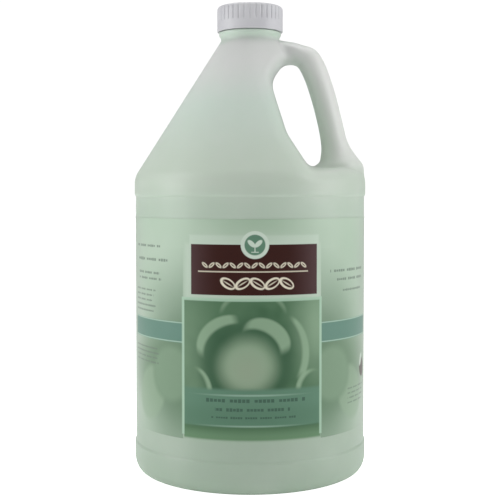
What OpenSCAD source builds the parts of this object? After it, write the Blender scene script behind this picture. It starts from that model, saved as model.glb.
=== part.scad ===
// Handled round jug of shampoo with a ribbed screw cap.
// +Z is up along the jug's axis, the handle is on +X and the label faces -Y.
// The origin is the middle of the ring that the jug stands on.

/* [Body] */
// Diameter across the recessed label panel
body_d = 152.4; // [125:0.1:185]
// How far the bumper rings stand proud of the label panel
bumper_proud = 0.8; // [0.5:0.1:1.5]
// Width of the curved heel between the side and the base
heel_w = 6.5; // [5:0.5:9]
// Height of the curved heel
heel_h = 10; // [8:0.5:13]
// Width of the flat ring that the jug stands on
base_ring_w = 6; // [4:0.5:9]
// Height of the push-up in the middle of the base
push_up_h = 6; // [3:0.5:9]
// Height of the lower bumper ring above the heel
lower_bumper_h = 9; // [6:0.5:12]
// Height of the label panel between its two steps
panel_h = 160; // [130:1:195]
// Height of the sloping step at each end of the label panel
panel_step_h = 2; // [1:0.5:3]
// Height of the upper bumper ring below the shoulder curve
upper_bumper_h = 6.9; // [5:0.1:10]
// Radius of the curve between the upper bumper ring and the cone
shoulder_r = 14; // [10:0.5:18]
// Slope of the shoulder cone, in degrees from the vertical
cone_slope = 32.4; // [27:0.1:39]
// Thickness of the blown wall
wall = 1; // [0.8:0.05:1.3]

/* [Neck and thread] */
// Diameter at the root of the neck thread
neck_d = 36; // [30:0.1:44]
// Thickness of the neck wall at the thread root
neck_wall = 2.4; // [1.8:0.1:3]
// How far the waist under the neck bead stands out from the thread root
waist_proud = 1.2; // [0.8:0.1:2]
// How far the bead under the cap stands out from the thread root
bead_proud = 2.7; // [2:0.1:3]
// Height of the waist and bead between the cone and the cap
bead_h = 6.9; // [5:0.1:9]
// Height of the threaded neck above its bead
finish_h = 14.7; // [12:0.1:18]
// Rise of the thread in one turn
thread_pitch = 4.233; // [3.5:0.001:5.1]
// Number of turns of each thread
thread_turns = 1.25; // [1:0.05:1.5]
// How far each thread stands out from its wall
thread_depth = 1.3; // [1:0.05:1.6]
// Width of the thread where it meets its wall
thread_base_w = 1.9; // [1.5:0.05:2.3]
// Width of the thread at its crest
thread_crest_w = 0.8; // [0.5:0.05:1.1]
// Distance from the sealing land down to the middle of the thread's upper end
thread_drop = 2.9; // [2.4:0.1:3.5]

/* [Cap and liner] */
// Thickness of the cap's skirt at a rib
cap_wall = 2.1; // [1.7:0.1:2.6]
// Thickness of the cap's top
cap_top_t = 1.6; // [1.2:0.1:2.2]
// Radius of the cap's rounded upper edge
cap_edge_r = 2.4; // [1.8:0.1:3]
// Height of the plain band below the ribs
cap_band_h = 6.4; // [5:0.1:8]
// Number of ribs round the cap
rib_count = 36; // [24:1:45]
// Depth of the grooves between the ribs
groove_depth = 0.45; // [0.3:0.05:0.6]
// Radius of each groove's cutter
groove_r = 0.8; // [0.6:0.05:1]
// Thickness of the foam liner
liner_t = 1; // [0.8:0.1:1.4]

/* [Handle] */
// Width of the grip from the finger gap outwards
handle_w = 16.4; // [14:0.1:20]
// Depth of the grip from front to back
handle_depth = 25; // [20:0.5:30]
// Radius at the top of the finger gap
gap_top_r = 7.2; // [6:0.1:8]
// Radius at the widest upper part of the finger gap
gap_upper_r = 11.1; // [9:0.1:12]
// Radius at the middle of the finger gap
gap_middle_r = 10.9; // [9:0.1:12]
// Radius at the foot of the finger gap
gap_foot_r = 5; // [4:0.1:6]

/* [Label and shampoo] */
// Thickness of the label film
label_t = 0.2; // [0.1:0.05:0.3]
// Distance from the foot of the label panel up to the label
label_lift = 12; // [4:0.5:20]
// Distance from the top of the label panel down to the label
label_drop = 13; // [4:0.5:20]
// Width of the bare strip left between the label's ends at the back
label_gap_w = 16; // [8:1:40]
// Distance of the shampoo's surface below the top of the cone
fill_drop = 39.5; // [30:0.5:60]

/* [Fits] */
// Layer of adhesive between the label and the jug
adhesive_t = 0.05; // [0.02:0.01:0.1]
// Clearance round the shampoo inside the wall
fill_clearance = 0.3; // [0.2:0.05:0.5]
// Clearance between the crest of a thread and the wall that it faces
thread_clearance = 0.5; // [0.3:0.05:0.7]
// Clearance between the loaded flanks of the two threads
flank_clearance = 0.3; // [0.2:0.05:0.4]
// Clearance between the cap's skirt and the neck bead
skirt_clearance = 0.3; // [0.2:0.05:0.5]
// Clearance round the liner inside the cap
liner_clearance = 0.3; // [0.2:0.05:0.4]

/* [Hidden] */

body_r = body_d / 2;
bumper_r = body_r + bumper_proud;
neck_r = neck_d / 2;
bore_r = neck_r - neck_wall;
waist_r = neck_r + waist_proud;
bead_r = neck_r + bead_proud;
cone_top_r = waist_r + 1;
ring_out_r = bumper_r - heel_w;
ring_in_r = ring_out_r - base_ring_w;

// Levels, from the floor up
panel_z0 = heel_h + lower_bumper_h + panel_step_h;
panel_z1 = panel_z0 + panel_h;
shoulder_z = panel_z1 + panel_step_h + upper_bumper_h;
cone_z0 = shoulder_z + shoulder_r * sin(cone_slope);
cone_r0 = bumper_r - shoulder_r * (1 - cos(cone_slope));
cone_z1 = cone_z0 + (cone_r0 - cone_top_r) / tan(cone_slope);
shelf_z = cone_z0 + 4.2;
bead_z1 = cone_z1 + bead_h;
land_z = bead_z1 + finish_h;
fill_z = cone_z1 - fill_drop;

// The cap round the neck
cap_z0 = bead_z1 + skirt_clearance;
cap_in_z1 = land_z + liner_t;
cap_z1 = cap_in_z1 + cap_top_t;
cap_in_r = neck_r + thread_depth + thread_clearance;
cap_r = cap_in_r + cap_wall;
liner_r = cap_in_r - liner_clearance;

// Threads: the cap's runs below the neck's, one flank clearance away
thread_w = (thread_base_w + thread_crest_w) / 2;
neck_thread_z = land_z - thread_drop - thread_turns * thread_pitch;
cap_thread_z = neck_thread_z - thread_base_w - flank_clearance;
thread_root = 0.4;
thread_steps = 40;
thread_runout = 45;

// The handle runs from inside the neck to its root inside the shoulder, and each
// row is one oval section of it, held at its edge on the finger gap: share of the
// way out from the cone's top to the panel, share of the way up from the shelf to
// the cone's top, tilt of the section, share of the grip's width, share of the
// root's width, share of the grip's depth.
handle_path = [
    [-0.146, 0.87, 90, 0.76, 0, 0.64],
    [0.121, 0.836, 88, 0.89, 0, 0.84],
    [0.221, 0.801, 45, 1.02, 0, 0.94],
    [0.296, 0.701, 18, 1, 0, 0.98],
    [0.375, 0.541, 15, 1, 0, 1],
    [0.461, 0.31, 15, 1, 0, 1],
    [0.496, 0.158, 10, 1.04, 0, 1.04],
    [0.486, 0.083, 0, 0.6, 0.42, 1.3],
    [0.412, 0.011, 0, 0, 0.965, 1.68],
    [0.416, -0.111, 0, 0, 0.99, 1.68],
];
handle_root_inset = 0.4;
handle_steps = 3;
handle_sides = 24;
arc_steps = 8;
far = 2 * body_r;
over = 1;

function out_x(share) = cone_top_r + share * (body_r - cone_top_r);
function up_z(share) = shelf_z + share * (cone_z1 - shelf_z);

// Points on a circular arc from angle a0 to angle a1
function arc(x, z, r, a0, a1) = [
    for (i = [0:arc_steps])
        let (a = a0 + (a1 - a0) * i / arc_steps)
        [x + r * cos(a), z + r * sin(a)]
];

// Points on the quarter of an oval from its foot to its side
function heel_arc(x, z, w, h) = [
    for (i = [0:arc_steps])
        let (a = 90 * i / arc_steps)
        [x + w * sin(a), z - h * cos(a)]
];

// Outline of the body of revolution up to the cone, moved in by inset
function body_outline(inset) = concat(
    [for (i = [0:arc_steps])
        let (t = i / arc_steps)
        [ring_in_r * t, push_up_h * (1 - t * t) + inset]],
    heel_arc(ring_out_r, heel_h, heel_w - inset, heel_h - inset),
    [
        [bumper_r - inset, heel_h + lower_bumper_h],
        [body_r - inset, panel_z0],
        [body_r - inset, panel_z1],
        [bumper_r - inset, panel_z1 + panel_step_h],
    ],
    arc(bumper_r - shoulder_r, shoulder_z, shoulder_r - inset, 0, cone_slope)
);

// Radius of the cone at a height, moved in by inset
function cone_radius(z, inset) =
    cone_r0 - (z - cone_z0) * tan(cone_slope) - inset / cos(cone_slope);

// Neck above the cone, with its waist and bead
neck_outline = [
    [cone_top_r, cone_z1],
    [waist_r, cone_z1 + 1.6],
    [waist_r + 0.2, cone_z1 + 2.8],
    [bead_r, cone_z1 + 5],
    [bead_r, bead_z1 - 0.3],
    [bead_r - 0.3, bead_z1],
    [neck_r, bead_z1],
    [neck_r, land_z - 0.4],
    [neck_r - 0.4, land_z],
];

// Height at which the inside of the cone meets the bore
bore_z0 = cone_z0 + (cone_r0 - wall / cos(cone_slope) - bore_r) / tan(cone_slope);

function catmull(a, b, c, d, t) =
    0.5 * (2 * b + (c - a) * t + (2 * a - 5 * b + 4 * c - d) * t * t
    + (3 * b - a - 3 * c + d) * t * t * t);

// The handle's sections, smoothed between the rows of its path
handle_last = len(handle_path) - 1;
function handle_row(i) = handle_path[min(max(i, 0), handle_last)];
handle_rows = concat(
    [for (i = [0:handle_last - 1])
        for (s = [0:handle_steps - 1])
            catmull(handle_row(i - 1), handle_row(i), handle_row(i + 1),
                handle_row(i + 2), s / handle_steps)],
    [handle_row(handle_last)]
);
handle_count = len(handle_rows);
root_w = bumper_r - handle_root_inset - out_x(0.412);

// One oval section of the handle, moved in by inset
function handle_ring(i, inset) =
    let (
        row = handle_rows[i],
        full_w = handle_w * row[3] + root_w * row[4],
        half_d = handle_depth / 2 * row[5] - inset
    )
    [for (k = [0:handle_sides - 1])
        let (
            a = 360 * k / handle_sides,
            across = full_w / 2 + (full_w / 2 - inset) * cos(a)
        )
        [
            out_x(row[0]) + across * cos(row[2]),
            half_d * sin(a),
            up_z(row[1]) + across * sin(row[2])
        ]];

// Faces of a tube of equal rings, closed at both ends
function tube_faces(rings, sides) = concat(
    [[for (k = [sides - 1:-1:0]) k]],
    [for (i = [0:rings - 2])
        for (k = [0:sides - 1])
            let (
                n = (k + 1) % sides,
                a = i * sides,
                b = a + sides
            )
            [a + k, a + n, b + n, b + k]],
    [[for (k = [0:sides - 1]) (rings - 1) * sides + k]]
);

module handle_tube(inset) {
    polyhedron(
        points = [for (i = [0:handle_count - 1]) each handle_ring(i, inset)],
        faces = tube_faces(handle_count, handle_sides),
        convexity = 4
    );
}

// Helical ridge from a root radius to a crest radius, with run-outs at both ends
module thread(root, crest, z) {
    count = round(thread_turns * thread_steps);
    sign = crest > root ? 1 : -1;
    start = root - sign * thread_root;
    rings = [
        for (i = [0:count])
            let (
                a = 360 * i / thread_steps,
                left = min(a, 360 * thread_turns - a),
                k = min(1, 0.1 + left / thread_runout),
                top = root + (crest - root) * k,
                rise = z + thread_pitch * a / 360,
                half_base = thread_base_w / 2 * (0.3 + 0.7 * k),
                half_crest = thread_crest_w / 2 * (0.3 + 0.7 * k)
            )
            each [
                for (q = [
                    [start, -half_base],
                    [top, -half_crest],
                    [top, half_crest],
                    [start, half_base]
                ])
                [q[0] * cos(a), q[0] * sin(a), rise + q[1]]
            ]
    ];
    faces = tube_faces(count + 1, 4);
    polyhedron(
        points = rings,
        faces = sign > 0 ? faces : [for (f = faces) [for (k = [len(f) - 1:-1:0]) f[k]]],
        convexity = 6
    );
}

// Outline of the finger gap, moved out by grow
module gap_outline(grow) {
    top_z = up_z(0.7475);
    foot_z = shelf_z + gap_foot_r;
    hull() {
        translate([out_x(0.12), top_z]) circle(r = gap_top_r + grow, $fn = 48);
        translate([out_x(0.1125), up_z(0.6596)])
            circle(r = gap_upper_r + grow, $fn = 48);
        translate([out_x(0.2643), up_z(0.3298)])
            circle(r = gap_middle_r + grow, $fn = 48);
        translate([out_x(0.3964), foot_z]) circle(r = gap_foot_r + grow, $fn = 48);
        translate([out_x(0.3964) + far, foot_z])
            circle(r = gap_foot_r + grow, $fn = 48);
        translate([out_x(0.12) + far, top_z]) circle(r = gap_top_r + grow, $fn = 48);
    }
}

// All that the finger gap takes from the cone, out past the handle
module finger_cut(grow) {
    rotate([90, 0, 0])
        linear_extrude(height = 2 * far, center = true)
            gap_outline(grow);
}

// Blown body without its neck, moved in by inset
module jug_shape(inset) {
    top_z = inset > 0 ? bore_z0 : cone_z1;
    difference() {
        rotate_extrude($fn = 128)
            polygon(concat(
                body_outline(inset),
                [[cone_radius(top_z, inset), top_z], [0, top_z]]
            ));
        finger_cut(inset);
    }
    handle_tube(inset);
}

module neck() {
    rotate_extrude($fn = 128)
        polygon(concat([[0, cone_z1 - over]], [[cone_top_r, cone_z1 - over]],
            neck_outline, [[0, land_z]]));
    thread(neck_r, neck_r + thread_depth, neck_thread_z);
}

module bottle() {
    color([0.80, 0.85, 0.80])
        difference() {
            union() {
                jug_shape(0);
                neck();
            }
            jug_shape(wall);
            translate([0, 0, bore_z0 - over])
                cylinder(r = bore_r, h = land_z - bore_z0 + 2 * over, $fn = 96);
        }
}

module label() {
    turn = 360 * label_gap_w / (2 * PI * body_r);
    color([0.62, 0.70, 0.60])
        rotate([0, 0, 90 + turn / 2])
            rotate_extrude(angle = 360 - turn, $fn = 128)
                translate([body_r + adhesive_t, panel_z0 + label_lift])
                    square([label_t, panel_h - label_lift - label_drop]);
}

module shampoo() {
    color([0.70, 0.82, 0.62])
        intersection() {
            jug_shape(wall + fill_clearance);
            cylinder(r = far, h = fill_z, $fn = 64);
        }
}

module cap_liner() {
    color([0.93, 0.93, 0.92])
        translate([0, 0, land_z])
            cylinder(r = liner_r, h = liner_t, $fn = 96);
}

module cap() {
    groove_x = cap_r + groove_r - groove_depth;
    color([0.92, 0.92, 0.93]) {
        difference() {
            rotate_extrude($fn = 128)
                polygon(concat(
                    [[cap_in_r, cap_z0], [cap_r, cap_z0]],
                    arc(cap_r - cap_edge_r, cap_z1 - cap_edge_r, cap_edge_r, 0, 90),
                    [[0, cap_z1], [0, cap_in_z1], [cap_in_r, cap_in_z1]]
                ));
            for (i = [0:rib_count - 1])
                rotate([0, 0, 360 * (i + 0.5) / rib_count])
                    translate([groove_x, 0, cap_z0 + cap_band_h])
                        cylinder(r = groove_r, h = cap_z1 - cap_z0, $fn = 24);
        }
        thread(cap_in_r, cap_in_r - thread_depth, cap_thread_z);
    }
}

bottle();
label();
shampoo();
cap_liner();
cap();
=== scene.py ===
import logging
import math
from dataclasses import dataclass
from enum import Enum
from typing import Callable, Iterable, Sequence

import bmesh
import bpy
import numpy as np
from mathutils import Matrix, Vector


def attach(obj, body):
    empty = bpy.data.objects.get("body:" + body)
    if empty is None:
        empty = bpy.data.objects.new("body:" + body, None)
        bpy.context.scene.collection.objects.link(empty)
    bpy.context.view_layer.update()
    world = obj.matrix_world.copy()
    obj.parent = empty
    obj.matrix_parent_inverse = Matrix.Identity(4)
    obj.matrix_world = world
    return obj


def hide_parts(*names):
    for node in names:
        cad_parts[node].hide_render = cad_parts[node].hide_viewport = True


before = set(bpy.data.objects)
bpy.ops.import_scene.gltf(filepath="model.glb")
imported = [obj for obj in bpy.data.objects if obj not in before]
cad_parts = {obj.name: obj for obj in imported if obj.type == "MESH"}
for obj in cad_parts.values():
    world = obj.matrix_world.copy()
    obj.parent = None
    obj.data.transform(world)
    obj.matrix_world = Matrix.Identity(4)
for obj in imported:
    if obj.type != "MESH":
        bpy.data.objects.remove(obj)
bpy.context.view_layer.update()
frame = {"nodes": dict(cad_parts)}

LOG = logging.getLogger("shampoo_jug")
MM = 0.001

Point = tuple[float, float]
Field = Callable[[np.ndarray], np.ndarray]


class Body(Enum):
    """Names of the CAD bodies that pieces ride on."""

    JUG = "jug"
    SEAL = "seal"
    CLOSURE = "closure"


class Slot(Enum):
    """Names of the record's material slots."""

    JUG = "jug_plastic"
    LABEL = "label_film"
    SHAMPOO = "shampoo_gel"
    LINER = "liner_foam"
    CAP = "cap_plastic"


# --------------------------------------------------------------------------- colour


class Region(Enum):
    """The label's printed regions, each with a material of its own."""

    PLATE = "plate"
    PICTURE = "picture"
    SIDES = "sides"
    BACK = "back"


@dataclass(frozen=True)
class Tint:
    """A display colour, each channel from 0 to 255."""

    red: float
    green: float
    blue: float

    def linear(self) -> tuple[float, float, float, float]:
        """Convert to scene-linear values.

        Returns:
            Red, green, blue and an alpha of one.
        """
        out = []
        for channel in (self.red, self.green, self.blue):
            c = channel / 255
            out.append(c / 12.92 if c <= 0.04045 else ((c + 0.055) / 1.055) ** 2.4)
        return (out[0], out[1], out[2], 1.0)


# --------------------------------------------------------------------------- nodes


class Graph:
    """Short helpers for wiring one node tree."""

    def __init__(self, tree: bpy.types.NodeTree) -> None:
        """Keep the tree.

        Args:
            tree: The node tree that every helper adds to.
        """
        self.tree = tree

    def add(self, kind: str, **settings: object) -> bpy.types.Node:
        """Add a node.

        Args:
            kind: The node's type name.
            **settings: Properties to set on the node.

        Returns:
            The new node.
        """
        node = self.tree.nodes.new(kind)
        for name, value in settings.items():
            setattr(node, name, value)
        return node

    def put(self, socket: bpy.types.NodeSocket, value: object) -> None:
        """Link or set an input.

        Args:
            socket: The input.
            value: A socket to link, a Tint, a number or a tuple.
        """
        if isinstance(value, bpy.types.NodeSocket):
            self.tree.links.new(value, socket)
        elif isinstance(value, Tint):
            socket.default_value = value.linear()
        else:
            socket.default_value = value

    def math(self, operation: str, *values: object) -> bpy.types.NodeSocket:
        """Add a math node.

        Args:
            operation: The node's operation.
            *values: Its inputs in order.

        Returns:
            The result socket.
        """
        node = self.add("ShaderNodeMath", operation=operation)
        for i, value in enumerate(values):
            self.put(node.inputs[i], value)
        return node.outputs[0]

    def ramp(self, value: object, low: float, high: float) -> bpy.types.NodeSocket:
        """Rise smoothly from 0 at low to 1 at high.

        Args:
            value: The input.
            low: Where the result is 0.
            high: Where the result is 1; below low for a fall.

        Returns:
            The result socket.
        """
        node = self.add("ShaderNodeMapRange", interpolation_type="SMOOTHSTEP", clamp=False)
        if low < high:
            ends = (low, high, 0.0, 1.0)
        else:
            ends = (high, low, 1.0, 0.0)
        self.put(node.inputs[0], value)
        for i, end in enumerate(ends):
            node.inputs[i + 1].default_value = end
        return node.outputs[0]

    def mix(self, share: object, a: object, b: object) -> bpy.types.NodeSocket:
        """Mix two colours.

        Args:
            share: Share of b.
            a: First colour.
            b: Second colour.

        Returns:
            The result socket.
        """
        node = self.add("ShaderNodeMix", data_type="RGBA")
        self.put(node.inputs[0], share)
        self.put(node.inputs[6], a)
        self.put(node.inputs[7], b)
        return node.outputs[2]

    def noise(self, vector: object, scale: float, detail: float = 2.0) -> bpy.types.NodeSocket:
        """Add a noise texture.

        Args:
            vector: Where to read it.
            scale: Its scale.
            detail: Its detail.

        Returns:
            The value socket.
        """
        node = self.add("ShaderNodeTexNoise")
        self.put(node.inputs["Vector"], vector)
        node.inputs["Scale"].default_value = scale
        node.inputs["Detail"].default_value = detail
        return node.outputs[0]

    def object_point(self) -> bpy.types.NodeSocket:
        """Read the object's own coordinates.

        Returns:
            The vector socket, in metres.
        """
        return self.add("ShaderNodeTexCoord").outputs["Object"]

    def bump(self, height: object, strength: float, distance: float) -> bpy.types.NodeSocket:
        """Add a bump node.

        Args:
            height: The height, from 0 to 1.
            strength: The bump's strength.
            distance: The full height in metres.

        Returns:
            The normal socket.
        """
        node = self.add("ShaderNodeBump")
        node.inputs["Strength"].default_value = strength
        node.inputs["Distance"].default_value = distance
        self.put(node.inputs["Height"], height)
        return node.outputs[0]


def new_group(
    name: str, ins: Sequence[tuple[str, str]], outs: Sequence[tuple[str, str]]
) -> tuple[Graph, bpy.types.Node, bpy.types.Node]:
    """Make an empty shader node group.

    Args:
        name: The group's name.
        ins: Name and socket type of each input.
        outs: Name and socket type of each output.

    Returns:
        Its graph, its input node and its output node.
    """
    tree = bpy.data.node_groups.new(name, "ShaderNodeTree")
    for label, kind in ins:
        tree.interface.new_socket(label, in_out="INPUT", socket_type=kind)
    for label, kind in outs:
        tree.interface.new_socket(label, in_out="OUTPUT", socket_type=kind)
    graph = Graph(tree)
    return graph, graph.add("NodeGroupInput"), graph.add("NodeGroupOutput")


def new_material(name: str) -> tuple[bpy.types.Material, Graph, bpy.types.Node]:
    """Make a material with one Principled shader.

    Args:
        name: The material's name.

    Returns:
        The material, its graph and the shader node.
    """
    material = bpy.data.materials.new(name)
    material.use_nodes = True
    graph = Graph(material.node_tree)
    return material, graph, material.node_tree.nodes["Principled BSDF"]


# --------------------------------------------------------------------------- meshes


def spin_profile(mesh: bmesh.types.BMesh, points: Sequence[Point], steps: int) -> list[bmesh.types.BMVert]:
    """Spin an outline round the axis.

    Args:
        mesh: The mesh to add to.
        points: Radius and height of each point, in mm.
        steps: Number of steps round the axis.

    Returns:
        The new vertices.
    """
    before = set(mesh.verts)
    verts = [mesh.verts.new((r, 0.0, z)) for r, z in points]
    edges = [mesh.edges.new(pair) for pair in zip(verts, verts[1:])]
    bmesh.ops.spin(
        mesh,
        geom=verts + edges,
        cent=(0, 0, 0),
        axis=(0, 0, 1),
        angle=2 * math.pi,
        steps=steps,
        use_merge=True,
    )
    made = [v for v in mesh.verts if v not in before]
    bmesh.ops.remove_doubles(mesh, verts=made, dist=1e-4)
    return [v for v in mesh.verts if v not in before]


def boundary_loop(verts: Iterable[bmesh.types.BMVert], height: float, slack: float) -> list[bmesh.types.BMVert]:
    """Find the open edge near a height.

    Args:
        verts: The vertices to look through.
        height: The edge's height in mm.
        slack: How far from it a vertex may be.

    Returns:
        The vertices by their angle round the axis.
    """
    loop = [v for v in verts if v.is_boundary and abs(v.co.z - height) < slack]
    return sorted(loop, key=lambda v: math.atan2(v.co.y, v.co.x))


def zip_loops(mesh: bmesh.types.BMesh, one: Sequence[bmesh.types.BMVert], two: Sequence[bmesh.types.BMVert]) -> None:
    """Join two open rings of different counts with a strip of faces.

    Args:
        mesh: The mesh that holds both rings.
        one: First ring, by angle.
        two: Second ring, by angle.
    """
    angle = [[math.atan2(v.co.y, v.co.x) for v in ring] for ring in (one, two)]
    for ring_angle, ring in zip(angle, (one, two)):
        ring_angle.append(ring_angle[0] + 2 * math.pi)
    i = j = 0
    while i < len(one) or j < len(two):
        a, b = one[i % len(one)], two[j % len(two)]
        if j >= len(two) or (i < len(one) and angle[0][i + 1] <= angle[1][j + 1]):
            i += 1
            face = (a, one[i % len(one)], b)
        else:
            j += 1
            face = (a, two[j % len(two)], b)
        if len(set(face)) == 3:
            mesh.faces.new(face)


def helix_ridge(
    mesh: bmesh.types.BMesh,
    root: float,
    crest: float,
    start_z: float,
    pitch: float,
    turns: float,
    base_w: float,
    crest_w: float,
    runout: float = 45.0,
    steps_per_turn: int = 72,
) -> None:
    """Add one closed thread ridge with run-outs.

    Args:
        mesh: The mesh to add to.
        root: Radius of the wall that carries it.
        crest: Radius of its crest.
        start_z: Height of its lower end.
        pitch: Rise in one turn.
        turns: Number of turns.
        base_w: Width at the wall.
        crest_w: Width at the crest.
        runout: Angle over which each end dies away, in degrees.
        steps_per_turn: Steps in one turn.
    """
    sign = 1 if crest > root else -1
    inner = root - 0.4 * sign
    section = (
        (0.0, -base_w / 2),
        (0.75, -crest_w / 2 - 0.12),
        (1.0, -crest_w / 2 + 0.12),
        (1.0, crest_w / 2 - 0.12),
        (0.75, crest_w / 2 + 0.12),
        (0.0, base_w / 2),
    )
    before = set(mesh.verts)
    verts = [mesh.verts.new((inner + t * (crest - inner), 0.0, start_z + w)) for t, w in section]
    edges = [mesh.edges.new((verts[k], verts[(k + 1) % len(verts)])) for k in range(len(verts))]
    face = mesh.faces.new(verts)
    count = round(turns * steps_per_turn)
    bmesh.ops.spin(
        mesh,
        geom=verts + edges + [face],
        cent=(0, 0, 0),
        axis=(0, 0, 1),
        dvec=(0, 0, pitch * turns / count),
        angle=2 * math.pi * turns,
        steps=count,
        use_duplicate=False,
    )
    made = [v for v in mesh.verts if v not in before]
    for v in made:
        r = math.hypot(v.co.x, v.co.y)
        along = math.degrees(math.atan2(v.co.y, v.co.x)) % 360
        guess = (v.co.z - start_z) / pitch * 360
        a = along + 360 * round((guess - along) / 360)
        a = min(max(a, 0.0), 360 * turns)
        left = min(a, 360 * turns - a)
        k = min(1.0, 0.1 + left / runout)
        centre = start_z + pitch * a / 360
        new_r = inner + (r - inner) * k
        v.co.x *= new_r / r
        v.co.y *= new_r / r
        v.co.z = centre + (v.co.z - centre) * (0.3 + 0.7 * k)


def finish_mesh(name: str, mesh: bmesh.types.BMesh, sharp: float = 35.0) -> bpy.types.Object:
    """Turn a mesh in mm into an object in metres.

    Args:
        name: The object's name.
        mesh: The mesh; it is freed.
        sharp: Edges above this angle stay sharp, in degrees.

    Returns:
        The object, linked to the scene.
    """
    bmesh.ops.recalc_face_normals(mesh, faces=mesh.faces[:])
    bmesh.ops.scale(mesh, vec=(MM, MM, MM), verts=mesh.verts[:])
    data = bpy.data.meshes.new(name)
    mesh.to_mesh(data)
    mesh.free()
    data.shade_smooth()
    data.set_sharp_from_angle(angle=math.radians(sharp))
    item = bpy.data.objects.new(name, data)
    bpy.context.scene.collection.objects.link(item)
    data.calc_loop_triangles()
    LOG.info("%s: %d triangles", name, len(data.loop_triangles))
    return item


def arc(x: float, z: float, r: float, start: float, stop: float, steps: int = 12) -> list[Point]:
    """Points on a circular arc.

    Args:
        x: Centre's radius from the axis.
        z: Centre's height.
        r: The arc's radius.
        start: First angle in degrees.
        stop: Last angle in degrees.
        steps: Number of steps.

    Returns:
        The points.
    """
    return [
        (
            x + r * math.cos(math.radians(start + (stop - start) * i / steps)),
            z + r * math.sin(math.radians(start + (stop - start) * i / steps)),
        )
        for i in range(steps + 1)
    ]


def s_curve(a: Point, b: Point, steps: int = 6) -> list[Point]:
    """Points on a smooth step between two points, without the two ends.

    Args:
        a: First point.
        b: Last point.
        steps: Number of steps.

    Returns:
        The points between.
    """
    out = []
    for i in range(1, steps):
        t = i / steps
        s = t * t * (3 - 2 * t)
        out.append((a[0] + (b[0] - a[0]) * s, a[1] + (b[1] - a[1]) * t))
    return out


# --------------------------------------------------------------------------- jug shape


@dataclass(frozen=True)
class JugSizes:
    """Sizes of the blown jug, in mm."""

    panel_r: float = 76.2
    bumper_r: float = 77.0
    heel_w: float = 6.5
    heel_h: float = 10.0
    ring_w: float = 6.0
    push_up: float = 6.0
    panel_z0: float = 21.0
    panel_z1: float = 181.0
    step_h: float = 2.0
    shoulder_z: float = 189.9
    shoulder_r: float = 14.0
    slope: float = 32.4
    cone_top_r: float = 20.2
    shelf_rise: float = 4.2
    wall: float = 1.0
    neck_r: float = 18.0
    bore_r: float = 15.6
    waist_r: float = 19.2
    bead_r: float = 20.7
    bead_h: float = 6.9
    finish_h: float = 14.7
    fill_drop: float = 39.5
    pitch: float = 4.233
    turns: float = 1.25

    @property
    def cone_z0(self) -> float:
        """Height at which the cone starts."""
        return self.shoulder_z + self.shoulder_r * math.sin(math.radians(self.slope))

    @property
    def cone_r0(self) -> float:
        """Radius at which the cone starts."""
        return self.bumper_r - self.shoulder_r * (1 - math.cos(math.radians(self.slope)))

    @property
    def cone_z1(self) -> float:
        """Height at which the cone ends."""
        return self.cone_z0 + (self.cone_r0 - self.cone_top_r) / math.tan(math.radians(self.slope))

    @property
    def bead_z(self) -> float:
        """Height of the top of the neck bead."""
        return self.cone_z1 + self.bead_h

    @property
    def land_z(self) -> float:
        """Height of the sealing land."""
        return self.bead_z + self.finish_h

    @property
    def fill_z(self) -> float:
        """Height of the shampoo's surface."""
        return self.cone_z1 - self.fill_drop


# Circles whose hull is the finger gap: distance from the axis, height, radius
GAP_CIRCLES: tuple[tuple[float, float, float], ...] = (
    (26.9, 262.8, 7.2),
    (26.5, 255.6, 11.1),
    (35.0, 228.6, 10.9),
    (42.4, 206.6, 5.0),
    (194.0, 206.6, 5.0),
    (179.0, 262.8, 7.2),
)

# Oval sections of the handle, each held at its edge on the finger gap: distance
# from the axis, height, tilt, half width, half depth
HANDLE_SECTIONS: tuple[tuple[float, float, float, float, float], ...] = (
    (12.0, 272.8, 90.0, 7.0, 8.0),
    (27.0, 270.0, 88.0, 7.2, 10.5),
    (30.2, 269.0, 66.0, 7.1, 11.2),
    (32.8, 267.0, 45.0, 8.3, 11.8),
    (36.8, 259.0, 18.0, 8.2, 12.3),
    (41.2, 245.9, 15.0, 8.2, 12.5),
    (46.0, 227.0, 15.0, 8.2, 12.5),
    (47.9, 214.5, 8.0, 8.9, 13.0),
    (47.5, 208.4, 0.0, 11.8, 16.3),
    (46.7, 204.2, 0.0, 13.9, 19.3),
    (43.6, 200.8, 0.0, 16.3, 21.0),
    (43.5, 192.5, 0.0, 16.5, 21.0),
)


def soft_min(a: np.ndarray, b: np.ndarray, k: np.ndarray) -> np.ndarray:
    """Lower of two distances with a fillet between them.

    Args:
        a: First distance.
        b: Second distance.
        k: Size of the fillet.

    Returns:
        The blended distance.
    """
    h = np.clip(0.5 + 0.5 * (b - a) / k, 0, 1)
    return b * (1 - h) + a * h - k * h * (1 - h)


def blur(values: np.ndarray, axis: int, reach: float) -> np.ndarray:
    """Smooth values along one axis, holding the ends.

    Args:
        values: The values.
        axis: The axis to smooth along.
        reach: The curve's half width, in steps.

    Returns:
        The smoothed values.
    """
    span = math.ceil(3 * reach)
    weight = np.exp(-0.5 * (np.arange(-span, span + 1) / reach) ** 2)
    padded = np.moveaxis(values, axis, 0)
    padded = np.concatenate([padded[:1]] * span + [padded] + [padded[-1:]] * span)
    out = np.zeros_like(np.moveaxis(values, axis, 0))
    for i, w in enumerate(weight / weight.sum()):
        out += w * padded[i : i + len(out)]
    return np.moveaxis(out, 0, axis)


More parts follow.
